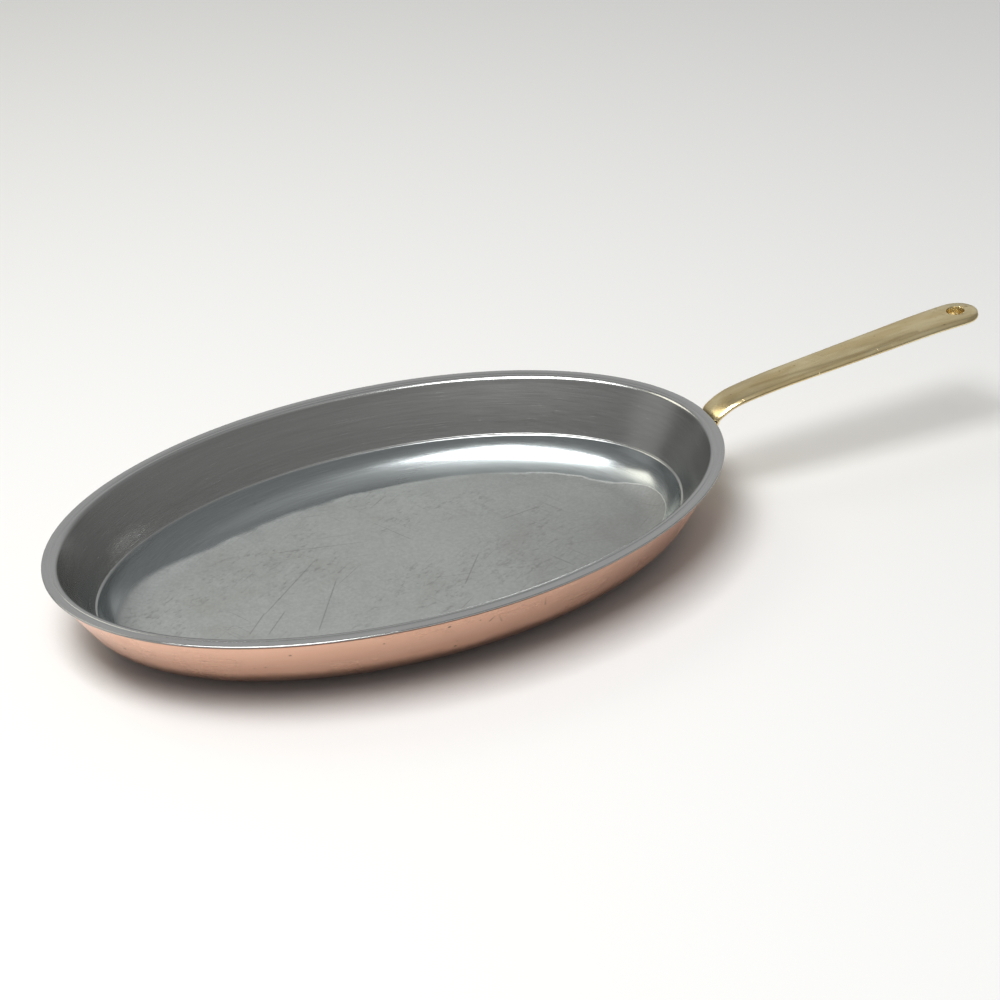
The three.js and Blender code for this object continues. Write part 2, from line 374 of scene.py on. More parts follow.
def turn_profile(outline: Profile, steps: int) -> bpy.types.Object:
    """Trace an outline vertex by vertex and spin it once round Z.

    Args:
        outline: Points as (radius, height), which starts and ends on the axis.
        steps: Faces round the axis.

    Returns:
        A closed turned body.
    """
    clear_selection()
    bpy.ops.mesh.primitive_plane_add(size=MM)
    body = bpy.context.object
    open_mesh(body)
    bpy.ops.mesh.merge(type="CENTER")
    bpy.ops.transform.translate(value=(outline[0][0], 0, outline[0][1]))
    for (radius, height), (next_radius, next_height) in zip(outline, outline[1:]):
        step = (next_radius - radius, 0, next_height - height)
        bpy.ops.mesh.extrude_region_move(TRANSFORM_OT_translate={"value": step})
    bpy.ops.mesh.select_all(action="SELECT")
    bpy.ops.mesh.spin(steps=steps, angle=2 * math.pi, center=(0, 0, 0), axis=(0, 0, 1))
    bpy.ops.mesh.select_all(action="SELECT")
    bpy.ops.mesh.remove_doubles(threshold=0.01 * MM)
    close_shell()
    return body


# The pieces


@dataclass
class Lining:
    """The pressed steel inner pan with its flat rim and narrow ledge."""

    oval: Oval
    finish: "SteelFinish"
    thickness: float = 1 * MM
    edge_flat: float = 0.8 * MM
    rim_flat: float = 7.1 * MM
    rim_radius: float = 3.2 * MM
    rim_edge: float = 0.42 * MM
    groove_inset: float = 4.5 * MM
    groove_depth: float = 0.1 * MM
    groove_half_width: float = 0.25 * MM
    crease_inset: float = 18.6 * MM
    crease_height: float = 24.1 * MM
    crease_radius: float = 60 * MM
    ledge_inset: float = 22.3 * MM
    ledge_height: float = 16.8 * MM
    ledge_radius: float = 0.5 * MM
    ledge_width: float = 1.1 * MM
    ledge_fall: float = 0.25 * MM
    fold_radius: float = 1.5 * MM
    floor_inset: float = 45.5 * MM
    floor: float = 2.5 * MM
    floor_margin: float = 6 * MM
    corner_steps: int = 22

    # The first steps of the corner, which the fold's arc takes up.
    fold_steps: int = 2

    def profile(self) -> Profile:
        """Draw the sheet's upper side.

        Returns:
            The flat rim, rounded edge, wall, ledge, soft corner and floor.
        """
        top = self.oval.height
        fold_inset = self.ledge_inset + self.ledge_width
        fold_height = self.ledge_height - self.ledge_fall
        run = self.floor_inset - fold_inset
        fall = fold_height - self.floor
        radius = (run * run + fall * fall) / (2 * fall)
        corner = floor_corner(
            radius, math.asin(run / radius), self.floor_inset, self.floor, self.corner_steps
        )[self.fold_steps:]
        upper = rounded([
            (0, top, 0),
            (self.edge_flat, top, 0),
            (self.groove_inset - self.groove_half_width, top, 0),
            (self.groove_inset, top - self.groove_depth, 0),
            (self.groove_inset + self.groove_half_width, top, 0),
            (self.rim_flat, top, self.rim_radius),
            (self.crease_inset, self.crease_height, self.crease_radius),
            (self.ledge_inset, self.ledge_height, self.ledge_radius),
            (fold_inset, fold_height, self.fold_radius),
            (*corner[0], 0),
        ])
        return upper + corner[1:] + [(self.floor_inset + self.floor_margin, self.floor)]

    def build(self) -> bpy.types.Object:
        """Model and dress the lining.

        Returns:
            The finished piece.
        """
        sheet = nested_ovals(self.oval, self.profile())
        thicken(sheet, self.thickness, -1)
        soften(sheet, self.rim_edge, 60)
        piece = settle(sheet, "lining_sheet")
        hand_over(piece, self.finish.material(), "steel_lining")
        return piece


@dataclass
class Jacket:
    """The spun copper outer pan."""

    oval: Oval
    finish: "CopperFinish"
    thickness: float = 1.2 * MM
    corner_radius: float = 35.5 * MM
    corner_steps: int = 30
    base_margin: float = 8 * MM
    wall_shares: tuple[float, ...] = (0, 0.02, 0.25, 0.5, 0.75)
    room_rise: float = 8 * MM
    sliver: float = 0.001 * MM

    def profile(self) -> Profile:
        """Draw the copper's outer side.

        Returns:
            The straight wall, the large corner and the flat underside.
        """
        oval = self.oval
        run = oval.wall_top / math.tan(oval.wall_slope)
        base = oval.wall_inset + run + self.corner_radius * math.tan(oval.wall_slope / 2)
        corner = floor_corner(self.corner_radius, oval.wall_slope, base, 0, self.corner_steps)
        start_inset, start_height = corner[0]
        wall = [
            (
                oval.wall_inset + (start_inset - oval.wall_inset) * share,
                oval.wall_top + (start_height - oval.wall_top) * share,
            )
            for share in self.wall_shares
        ]
        return wall + corner + [(base + self.base_margin, 0)]

    def build(self) -> bpy.types.Object:
        """Model and dress the jacket.

        Returns:
            The finished piece.
        """
        sheet = nested_ovals(self.oval, self.profile())
        open_mesh(sheet)
        bpy.ops.mesh.flip_normals()
        close_mesh()
        thicken(sheet, self.thickness, -1)
        piece = settle(sheet, "jacket_sheet")
        hand_over(piece, self.finish.material(), "copper_jacket")
        return piece

    def room(self, gap: float) -> bpy.types.Object:
        """Model the closed body that the handle stays out of.

        Args:
            gap: The distance kept to the copper and to the edge of the rim.

        Returns:
            A helper body, to be discarded after use.
        """
        lift = gap / math.sin(self.oval.wall_slope)
        wall = [(inset - lift, height) for inset, height in self.profile()[1:]]
        under = self.oval.wall_top - gap
        body = nested_ovals(self.oval, [
            (-gap, self.oval.height + self.room_rise),
            (-gap + self.sliver, under),
            (wall[0][0], under - self.sliver),
            *wall[1:],
        ])
        open_mesh(body)
        bpy.ops.mesh.select_mode(type="EDGE")
        bpy.ops.mesh.select_all(action="DESELECT")
        bpy.ops.mesh.select_non_manifold()
        bpy.ops.mesh.edge_face_add()
        close_shell()
        return body


@dataclass
class Rivets:
    """The three brass rivets that hold the plate to the copper."""

    oval: Oval
    finish: "BrassFinish"
    angle: float = math.radians(8)
    plate_height: float = 31 * MM
    upper_rise: float = 4.5 * MM
    lower_drop: float = 5.5 * MM
    shank: float = 2.5 * MM
    head: float = 4.5 * MM
    head_height: float = 2.3 * MM
    head_inset: float = 0.15 * MM
    head_rise: float = 0.12 * MM
    tail: float = 3.7 * MM
    tail_height: float = 0.8 * MM
    tail_chamfer: float = 0.4 * MM
    face: float = 3.6 * MM
    inside: float = -1.5 * MM
    dome_steps: int = 9
    round_steps: int = 40

    def seats(self) -> dict[str, Matrix]:
        """Place the rivets on the copper.

        Returns:
            Each rivet's frame, by the name of its node.
        """
        rise = math.sin(self.oval.wall_slope)
        upper = self.plate_height + self.upper_rise * rise
        lower = self.plate_height - self.lower_drop * rise
        return {
            "rivet_left": self.oval.wall_frame(self.angle, upper),
            "rivet_right": self.oval.wall_frame(-self.angle, upper),
            "rivet_lower": self.oval.wall_frame(0, lower),
        }

    def outline(self) -> Profile:
        """Draw half a rivet, from the foot of its tail to the top of its domed head.

        Returns:
            Points as (radius, height).
        """
        foot = self.inside - self.tail_height
        turns = [math.pi / 2 * i / self.dome_steps for i in range(1, self.dome_steps)]
        return [
            (0, foot),
            (self.tail - self.tail_chamfer, foot),
            (self.tail, foot + self.tail_chamfer),
            (self.tail, self.inside),
            (self.shank, self.inside),
            (self.shank, self.face),
            (self.head - self.head_inset, self.face),
            (self.head, self.face + self.head_rise),
            *(
                (self.head * math.cos(turn), self.face + self.head_height * math.sin(turn))
                for turn in turns
            ),
            (0, self.face + self.head_height),
        ]

    def build(self) -> list[bpy.types.Object]:
        """Model one rivet, copy it to each seat and dress the copies.

        Returns:
            The finished pieces.
        """
        pattern = turn_profile(self.outline(), self.round_steps)
        material = self.finish.material()
        pieces = []
        for node, seat in self.seats().items():
            rivet = pattern.copy()
            rivet.data = pattern.data.copy()
            bpy.context.collection.objects.link(rivet)
            rivet.matrix_world = seat
            settle(rivet, node + "_turned")
            hand_over(rivet, material, node)
            pieces.append(rivet)
        discard(pattern)
        return pieces


@dataclass
class Handle:
    """The brass casting: strap, bend, round tip, hanging hole and mounting plate."""

    oval: Oval
    jacket: Jacket
    rivets: Rivets
    finish: "BrassFinish"
    gap: float = 0.3 * MM
    root_width: float = 19.6 * MM
    start_width: float = 18.2 * MM
    end_width: float = 24.8 * MM
    root_thickness: float = 5 * MM
    start_thickness: float = 4.3 * MM
    end_thickness: float = 5.1 * MM
    tip_thinning: float = 0.25
    root_length: float = 14 * MM
    roundness: float = 0.72
    section_cuts: int = 7
    curve_steps: int = 64
    bend_step: float = 1.2 * MM
    bend_sections: int = 26
    shaft_sections: int = 20
    shaft_margin: float = 10 * MM
    tip_sections: int = 5
    tip_turn: float = 0.16
    last_tip_turn: float = 1.44
    hole_top: float = 5 * MM
    hole_bottom: float = 3.9 * MM
    hole_edge: float = 0.5 * MM
    hole_reach: float = 6.4 * MM
    hole_slack: float = 0.05 * MM
    plate_thickness: float = 3 * MM
    plate_margin: float = 7 * MM
    plate_edge: float = 0.9 * MM
    plate_lift: float = 6 * MM
    boss_depth: float = 2 * MM
    boss_steps: int = 48

    # Cuts across the plate to each side of its middle, a millimetre apart.
    plate_cuts: int = 22

    # The strap's sections beside the hole, in millimetres from the hole's centre.
    hole_sections: tuple[float, ...] = (-8, -6.2, -3.8, -1.3, 1.3, 3.8, 6.2)

    # The centre line's bends, as [beyond the rim, above the rim] in millimetres.
    bends: tuple[tuple[tuple[float, float], ...], ...] = (
        ((-9.1, -16.4), (-0.6, -6.6), (1.7, -0.9)),
        ((1.7, -0.9), (2.1, 0.1), (6, 2.5)),
        ((6, 2.5), (11.45, 5.79), (17.5, 6.95)),
        ((17.5, 6.95), (31.7, 9.72), (50, 11.8)),
        ((50, 11.8), (87.5, 16.08), (125, 20.35)),
        ((125, 20.35), (150.8, 23.1), (163.3, 22.45)),
    )

    def point(self, place: tuple[float, float]) -> Vector:
        """Return a point of the centre line in the pan's frame."""
        beyond, above = place
        return Vector((self.oval.half_length + beyond * MM, 0, self.oval.height + above * MM))

    def centre_line(self) -> bpy.types.Object:
        """Draw the strap's centre line.

        Returns:
            A curve of cubic bends, for the strap to be laid along.
        """
        clear_selection()
        bpy.ops.curve.primitive_bezier_curve_add()
        line = bpy.context.object
        line.data.splines.clear()
        line.data.dimensions = "3D"
        line.data.twist_mode = "Z_UP"
        line.data.resolution_u = self.curve_steps
        spline = line.data.splines.new("BEZIER")
        spline.bezier_points.add(len(self.bends))
        knots = [start for start, _, _ in self.bends] + [self.bends[-1][-1]]
        for i, knot in enumerate(spline.bezier_points):
            knot.handle_left_type = knot.handle_right_type = "FREE"
            knot.co = self.point(knots[i])
            knot.handle_left = knot.handle_right = knot.co
            if i < len(self.bends):
                knot.handle_right = knot.co.lerp(self.point(self.bends[i][1]), 2 / 3)
            if i > 0:
                knot.handle_left = knot.co.lerp(self.point(self.bends[i - 1][1]), 2 / 3)
        return line

    def size_at(self, x: float, length: float) -> tuple[float, float]:
        """Work out the strap's section at a distance along it.

        Args:
            x: The distance from the root.
            length: The whole length.

        Returns:
            The width and the thickness.
        """
        tip = self.end_width / 2
        reach = min(max((x - self.root_length) / (length - tip - self.root_length), 0), 1)
        root = min(x / self.root_length, 1)
        root = root * root * (3 - 2 * root)
        into_tip = max(x - length + tip, 0) / tip
        width = self.start_width + (self.end_width - self.start_width) * reach
        thick = self.start_thickness + (self.end_thickness - self.start_thickness) * reach
        width = (self.root_width + (width - self.root_width) * root) * math.sqrt(
            max(1 - into_tip**2, 0)
        )
        thick = self.root_thickness + (thick - self.root_thickness) * root
        return width, thick * (1 - self.tip_thinning * into_tip**4)

    def stations(self, length: float) -> list[float]:
        """List where the flat strap's sections lie, closest together at the bend and tip.

        Args:
            length: The strap's length.

        Returns:
            Distances from the root.
        """
        tip = self.end_width / 2
        centre = length - tip
        bend = [i * self.bend_step for i in range(1, self.bend_sections + 1)]
        shaft = centre - self.shaft_margin - bend[-1]
        along = [
            bend[-1] + shaft * i / self.shaft_sections
            for i in range(1, self.shaft_sections + 1)
        ]
        around_hole = [centre + place * MM for place in self.hole_sections]
        first = math.asin(self.hole_sections[-1] * MM / tip)
        turns = [first + self.tip_turn * i for i in range(1, self.tip_sections + 1)]
        round_tip = [centre + tip * math.sin(min(turn, self.last_tip_turn)) for turn in turns]
        return bend + along + around_hole + round_tip

    def flat_strap(self, length: float) -> bpy.types.Object:
        """Model the strap straight and level, with its sections across X.

        Args:
            length: The strap's length.

        Returns:
            The strap, with its root at the origin.
        """
        clear_selection()
        bpy.ops.mesh.primitive_plane_add(size=2, rotation=(math.pi / 2, 0, math.pi / 2))
        strap = bpy.context.object
        bpy.ops.object.transform_apply(location=False, rotation=True, scale=False)
        open_mesh(strap)
        bpy.ops.mesh.subdivide(number_cuts=self.section_cuts)
        bpy.ops.mesh.dissolve_faces()
        bpy.ops.transform.tosphere(value=self.roundness, center_override=(0, 0, 0))
        reach = max(vertex.co.y for vertex in bmesh.from_edit_mesh(strap.data).verts)
        width, thick = self.size_at(0, length)
        bpy.ops.transform.resize(
            value=(1, width / 2 / reach, thick / 2 / reach), center_override=(0, 0, 0)
        )
        place = 0.0
        for x in self.stations(length):
            bpy.ops.mesh.extrude_region_move(
                TRANSFORM_OT_translate={"value": (x - place, 0, 0)}
            )
            next_width, next_thick = self.size_at(x, length)
            bpy.ops.transform.resize(
                value=(1, next_width / width, next_thick / thick), center_override=(x, 0, 0)
            )
            place, width, thick = x, next_width, next_thick
        close_shell()
        return strap

    def pierce(self, strap: bpy.types.Object, centre: float) -> None:
        """Open the hanging hole: clear the faces, round the openings and bridge them.

        Args:
            strap: The flat strap.
            centre: The hole's distance from the root.
        """
        open_mesh(strap)
        choose(strap, MeshPart.FACES, lambda face: (
            abs(face.calc_center_median().x - centre) < self.hole_reach
            and abs(face.calc_center_median().y) < self.hole_reach
            and abs(face.normal.z) > LEVEL
        ))
        bpy.ops.mesh.delete(type="FACE")
        for side, radius in ((1, self.hole_top), (-1, self.hole_bottom)):
            middle = Vector((centre, 0, side * self.end_thickness / 2))
            choose(strap, MeshPart.EDGES, lambda edge: edge.is_boundary and all(
                vertex.co.z * side > 0 for vertex in edge.verts
            ))
            bpy.ops.transform.tosphere(value=1, center_override=middle)
            mesh = bmesh.from_edit_mesh(strap.data)
            loop = [(vertex.co - middle).length for vertex in mesh.verts if vertex.select]
            growth = radius / (sum(loop) / len(loop))
            bpy.ops.transform.resize(value=(growth, growth, 0), center_override=middle)
        choose(strap, MeshPart.EDGES, lambda edge: edge.is_boundary)
        bpy.ops.mesh.bridge_edge_loops()
        choose(strap, MeshPart.EDGES, lambda edge: self.on_hole(edge, centre))
        bpy.ops.mesh.bevel(offset=self.hole_edge, segments=2)
        close_shell()

    def on_hole(self, edge: bmesh.types.BMEdge, centre: float) -> bool:
        """Tell whether an edge lies on the hole's upper or lower opening.

        Args:
            edge: An edge of the flat strap.
            centre: The hole's distance from the root.

        Returns:
            Whether both its ends lie on the same opening.
        """
        return all(
            abs(
                math.hypot(vertex.co.x - centre, vertex.co.y)
                - (self.hole_top if vertex.co.z > 0 else self.hole_bottom)
            ) < self.hole_slack
            for vertex in edge.verts
        ) and edge.verts[0].co.z * edge.verts[1].co.z > 0

    def strap(self, room: bpy.types.Object) -> bpy.types.Object:
        """Model the strap flat, then lay it along its centre line and clear of the pan.

        Args:
            room: The body that the handle stays out of.

        Returns:
            The strap in its place.
        """
        line = self.centre_line()
        length = sum(spline.calc_length() for spline in line.data.splines)
        strap = self.flat_strap(length)
        self.pierce(strap, length - self.end_width / 2)
        modify(strap, "SUBSURF", levels=2, render_levels=2)
        modify(strap, "CURVE", object=line, deform_axis="POS_X")
        modify(strap, "BOOLEAN", operation="DIFFERENCE", object=room, solver="EXACT")
        discard(line)
        return strap

    def plate(self, room: bpy.types.Object) -> bpy.types.Object:
        """Model the mounting plate as a sheet wrapped on the wall and then thickened.

        Args:
            room: The body that the plate lies on.

        Returns:
            The plate in its place.
        """
        home = self.oval.wall_frame(0, self.rivets.plate_height)
        bosses = []
        for seat in self.rivets.seats().values():
            centre = home.inverted() @ seat.translation
            clear_selection()
            bpy.ops.mesh.primitive_cylinder_add(
                vertices=self.boss_steps, radius=self.plate_margin, depth=self.boss_depth,
                location=(centre.x, centre.y, 0),
            )
            bosses.append(bpy.context.object)
        take(*bosses)
        bpy.ops.object.join()
        sheet = bpy.context.object
        fix_place()
        open_mesh(sheet)
        bpy.ops.mesh.convex_hull()
        choose(sheet, MeshPart.FACES, lambda face: face.normal.z < LEVEL)
        bpy.ops.mesh.delete(type="FACE")
        bpy.ops.mesh.select_all(action="SELECT")
        bpy.ops.mesh.dissolve_limited(angle_limit=math.radians(1))
        for i in range(-self.plate_cuts, self.plate_cuts + 1):
            bpy.ops.mesh.select_all(action="SELECT")
            bpy.ops.mesh.bisect(plane_co=(i * MM, 0, 0), plane_no=(1, 0, 0))
        close_mesh()
        sheet.matrix_world = home @ Matrix.Translation((0, 0, self.plate_lift))
        modify(
            sheet, "SHRINKWRAP", target=room, wrap_method="PROJECT", use_project_z=True,
            use_negative_direction=True, use_positive_direction=False,
        )
        thicken(sheet, self.plate_thickness, 1)
        soften(sheet, self.plate_edge, 50)
        fix_place()
        return sheet

    def build(self) -> bpy.types.Object:
        """Model and dress the casting.

        Returns:
            The finished piece.
        """
        room = self.jacket.room(self.gap)
        strap = self.strap(room)
        plate = self.plate(room)
        modify(strap, "BOOLEAN", operation="UNION", object=plate, solver="EXACT")
        discard(room, plate)
        piece = settle(strap, "handle_casting", smooth=40)
        hand_over(piece, self.finish.material(), "handle")
        return piece


# Finishes


class Wiring:
    """Adds nodes to one node tree and joins them."""

    def __init__(self, tree: bpy.types.NodeTree) -> None:
        """Keep the tree to work in."""
        self.tree = tree

    def feed(self, target: Socket, value: object) -> None:
        """Join a socket to an input, or set the input to a plain value.

        Args:
            target: The input.
            value: The socket or the plain value.
        """
        if isinstance(value, Socket):
            self.tree.links.new(value, target)
        else:
            target.default_value = value

    def node(
        self, kind: str, inputs: dict[str | int, object] | None = None, **settings: object
    ) -> bpy.types.Node:
        """Add a node, set its properties and fill its inputs.

        Args:
            kind: Blender's type name of the node.
            inputs: A socket to join or a value to set, by the input's name or number.
            **settings: The node's own properties.

        Returns:
            The new node.
        """
        node = self.tree.nodes.new(kind)
        for key, value in settings.items():
            setattr(node, key, value)
        for key, value in (inputs or {}).items():
            self.feed(node.inputs[key], value)
        return node

    def maths(self, operation: str, *values: object, clamp: bool = False) -> Socket:
        """Add a Math node.

        Args:
            operation: The operation's name.
            *values: Its inputs, each a socket or a number.
            clamp: Whether the result stays between 0 and 1.

        Returns:
            The result.
        """
        inputs = dict(enumerate(values))
        node = self.node("ShaderNodeMath", inputs, operation=operation, use_clamp=clamp)
        return node.outputs[0]

    def chain(self, operation: str, *values: object) -> Socket:
        """Work through several values, from the first to the last, with one operation."""
        return reduce(lambda total, value: self.maths(operation, total, value), values)

    def plus(self, *values: object) -> Socket:
        """Add values up."""
        return self.chain("ADD", *values)

    def minus(self, *values: object) -> Socket:
        """Take every other value off the first."""
        return self.chain("SUBTRACT", *values)

    def times(self, *values: object) -> Socket:
        """Multiply values."""
        return self.chain("MULTIPLY", *values)

    def vector(self, operation: str, *values: object, output: str = "Vector") -> Socket:
        """Add a Vector Math node.

        Args:
            operation: The operation's name.
            *values: Its inputs, each a socket or a vector.
            output: Whether its Vector or its Value is wanted.

        Returns:
            The result.
        """
        inputs = dict(enumerate(values))
        node = self.node("ShaderNodeVectorMath", inputs, operation=operation)
        return node.outputs[output]

    def parts(self, place: Socket) -> tuple[Socket, Socket, Socket]:
        """Split a place into its X, Y and Z."""
        return tuple(self.node("ShaderNodeSeparateXYZ", {0: place}).outputs)

    def object_place(self) -> Socket:
        """Return the place on the piece, in Object coordinates."""
        return self.node("ShaderNodeTexCoord").outputs["Object"]

    def remap(
        self, value: Socket, low: float, high: float, first: float = 0, second: float = 1
    ) -> Socket:
        """Map a value smoothly from one range to another.

        Args:
            value: The value.
            low: Where the first result is left.
            high: Where the second result is reached.
            first: The first result.
            second: The second result.

        Returns:
            The mapped value.
        """
        node = self.node(
            "ShaderNodeMapRange",
            {
                "Value": value, "From Min": low, "From Max": high,
                "To Min": first, "To Max": second,
            },
            interpolation_type="SMOOTHSTEP",
        )
        return node.outputs["Result"]

    def noise(self, vector: Socket, scale: float, detail: float = 3, rough: float = 0.5) -> Socket:
        """Sample a noise at a place.

        Args:
            vector: The place.
            scale: The noise's scale.
            detail: Its detail.
            rough: Its roughness.

        Returns:
            A value of about 0.5, between 0 and 1.
        """
        node = self.node(
            "ShaderNodeTexNoise",
            {"Vector": vector, "Scale": scale, "Detail": detail, "Roughness": rough},
        )
        return node.outputs["Fac"]

    def stretched(self, vector: Socket, scale: Point, turn: float = 0) -> Socket:
        """Turn a place about Z and scale it, so that a pattern is drawn out.

        Args:
            vector: The place.
            scale: The scale along each axis after the turn.
            turn: The angle of the turn, in degrees.

        Returns:
            The new place.
        """
        turned = self.node("ShaderNodeMapping", {
            "Vector": vector, "Rotation": (0, 0, math.radians(turn)),
        })
        return self.node("ShaderNodeMapping", {
            "Vector": turned.outputs[0], "Scale": scale,
        }).outputs[0]

    def blend(
        self, share: object, first: object, second: object, how: Mixing = Mixing.PLAIN
    ) -> Socket:
        """Mix two colours.

        Args:
            share: How much of the second colour there is.
            first: The first colour.
            second: The second colour.
            how: The way to mix them.

        Returns:
            The mixed colour.
        """
        node = self.node("ShaderNodeMix", data_type="RGBA", blend_type=how.value)
        for key, value in ((0, share), (6, first), (7, second)):
            self.feed(node.inputs[key], (*value, 1) if isinstance(value, tuple) else value)
        return node.outputs[2]

    def tint(self, colour: object, other: Colour, mask: Socket, strength: float) -> Socket:
        """Blend a colour towards another one where a mask is, at a given strength."""
        return self.blend(self.times(mask, strength), colour, other)

    def grey(self, tone: Socket) -> Socket:
        """Make a grey of one tone."""
        return self.node("ShaderNodeCombineColor", {0: tone, 1: tone, 2: tone}).outputs[0]

    def rubbed(self, colour: Socket, lines: Socket, strength: object) -> Socket:
        """Lighten and darken a colour along its rubbing lines."""
        tone = self.plus(0.5, self.times(lines, strength))
        return self.blend(0.5, colour, self.grey(tone), Mixing.OVERLAY)

    def bump(self, relief: Socket, strength: float, distance: float) -> Socket:
        """Turn a relief into a normal.

        Args:
            relief: The relief.
            strength: How clearly it shows.
            distance: How high it stands.

        Returns:
            The normal.
        """
        return self.node("ShaderNodeBump", {
            "Height": relief, "Strength": strength, "Distance": distance,
        }).outputs[0]

    def effect(self, group: bpy.types.NodeTree, **inputs: object) -> Socket:
        """Place a shared effect, with sockets or values for its inputs."""
        return self.node("ShaderNodeGroup", inputs, node_tree=group).outputs[0]


def new_group(
    name: str, inputs: dict[str, float | None], output: str
) -> tuple[bpy.types.NodeTree, Wiring, bpy.types.NodeOutputs, Socket]:
    """Start a shared effect as a node group.

    Args:
        name: The group's name.
        inputs: Each input's default number, or None for a place.
        output: The name of its output value.

    Returns:
        The group, its wiring, the sockets that it is given and the one that it puts out.
    """
    group = bpy.data.node_groups.new(name, "ShaderNodeTree")
    for label, default in inputs.items():
        kind = "NodeSocketVector" if default is None else "NodeSocketFloat"
        socket = group.interface.new_socket(label, in_out="INPUT", socket_type=kind)
        if default is not None:
            socket.default_value = default
    group.interface.new_socket(output, in_out="OUTPUT", socket_type="NodeSocketFloat")
    wiring = Wiring(group)
    given = wiring.node("NodeGroupInput").outputs
    return group, wiring, given, wiring.node("NodeGroupOutput").inputs[output]


class SharedEffects:
    """The effects that more than one finish uses, each built once as a node group."""

    # The turn in degrees, the fineness and the drawn-out scale of each way of scratching.
    SCRATCH_WAYS = ((14, 900, 11), (63, 1100, 16), (-38, 1300, 22))

    def __init__(self) -> None:
        """Build the groups."""
        self.rub_lines = self.make_rub_lines()
        self.scratches = self.make_scratches()
        self.stroke = self.make_stroke()
        self.specks = self.make_specks()
        self.stains = self.make_stains()

    def make_rub_lines(self) -> bpy.types.NodeTree:
        """Make fine polishing lines that run along X of the given place.

        Returns:
            The group, with the output Lines about 0.
        """
        group, w, given, out = new_group(
            "rub_lines", {"Place": None, "Fineness": 900, "Length": 12}, "Lines"
        )
        along, across, up = w.parts(given["Place"])
        drawn = w.node("ShaderNodeCombineXYZ", {
            0: w.times(along, given["Length"]),
            1: w.times(across, given["Fineness"]),
            2: w.times(up, given["Fineness"]),
        })
        w.feed(out, w.minus(w.noise(drawn.outputs[0], 1, 4, 0.7), 0.5))
        return group

    def make_scratches(self) -> bpy.types.NodeTree:
        """Make sparse straight scratches in three directions.

        Returns:
            The group, with the output Mask from 0 to 1.
        """
        group, w, given, out = new_group(
            "scratches", {"Place": None, "Spread": 1, "Least": 0.68}, "Mask"
        )
        place = w.node(
            "ShaderNodeVectorMath", {0: given["Place"], "Scale": given["Spread"]},
            operation="SCALE",
        ).outputs[0]
        masks = []
        for turn, across, along in self.SCRATCH_WAYS:
            ridge = w.noise(w.stretched(place, (along, across, 40), turn), 1, 1.5, 0.4)
            patch = w.noise(w.stretched(place, (30, 30, 30), turn + 20), 1, 1, 0.5)
            worn = w.plus(ridge, w.times(w.minus(patch, 0.5), 0.25))
            masks.append(w.maths("MULTIPLY", w.minus(worn, given["Least"]), 22, clamp=True))
        w.feed(out, w.chain("MAXIMUM", *masks))
        return group

    def make_stroke(self) -> bpy.types.NodeTree:
        """Make one straight scratch of a given place, direction, length and width.

        Returns:
            The group, with the output Mask from 0 to 1.
        """
        group, w, given, out = new_group(
            "stroke",
            {"Place": None, "Start": None, "Along": None, "Length": 0.05, "Width": 0.0004},
            "Mask",
        )
        reach = w.vector("SUBTRACT", given["Place"], given["Start"])
        run = w.vector("DOT_PRODUCT", reach, given["Along"], output="Value")
        side = w.vector("CROSS_PRODUCT", reach, given["Along"])
        off = w.vector("LENGTH", side, output="Value")
        across = w.maths("SUBTRACT", 1, w.maths("DIVIDE", off, given["Width"]), clamp=True)
        share = w.maths("DIVIDE", run, given["Length"])
        ends = w.times(share, w.minus(1, share))
        w.feed(out, w.times(across, w.maths("MULTIPLY", ends, 12, clamp=True)))
        return group

    def make_specks(self) -> bpy.types.NodeTree:
        """Make small separate dots.

        Returns:
            The group, with the output Mask from 0 to 1.
        """
        group, w, given, out = new_group(
            "specks", {"Place": None, "Scale": 140, "Size": 0.12}, "Mask"
        )
        cell = w.node("ShaderNodeTexVoronoi", {
            "Vector": given["Place"], "Scale": given["Scale"],
        })
        pick = w.node("ShaderNodeSeparateColor", {0: cell.outputs["Color"]})
        chosen = w.maths("GREATER_THAN", pick.outputs[0], 0.72)
        near = w.minus(w.times(given["Size"], pick.outputs[1]), cell.outputs["Distance"])
        w.feed(out, w.times(w.maths("MULTIPLY", near, 16, clamp=True), chosen))
        return group

    def make_stains(self) -> bpy.types.NodeTree:
        """Make soft cloudy patches.

        Returns:
            The group, with the output Mask from 0 to 1.
        """
        group, w, given, out = new_group(
            "stains", {"Place": None, "Scale": 20, "Least": 0.5}, "Mask"
        )
        cloud = w.node("ShaderNodeTexNoise", {
            "Vector": given["Place"], "Scale": given["Scale"],
            "Detail": 5.0, "Roughness": 0.62, "Distortion": 0.4,
        }).outputs["Fac"]
        w.feed(out, w.maths("MULTIPLY", w.minus(cloud, given["Least"]), 5, clamp=True))
        return group


def on_plan(w: Wiring, place: Socket) -> Socket:
    """Return a place without its height."""
    return w.vector("MULTIPLY", place, (1, 1, 0))


def draw_strokes(
    w: Wiring, effects: SharedEffects, place: Socket, strokes: tuple[Stroke, ...], width: float
) -> Socket:
    """Draw several straight scratches.

    Args:
        w: The wiring of the material.
        effects: The shared effects.
        place: The place to draw at.
        strokes: Where each scratch starts and ends.
        width: Half the width of a scratch.

    Returns:
        A mask from 0 to 1.
    """
    masks = []
    for stroke in strokes:
        half = len(stroke) // 2
        start, end = (
            Vector((*numbers, 0)[:3]) * MM for numbers in (stroke[:half], stroke[half:])
        )
        masks.append(w.effect(
            effects.stroke, Place=place, Start=start, Along=(end - start).normalized(),
            Length=(end - start).length, Width=width,
        ))
    return w.chain("MAXIMUM", *masks)


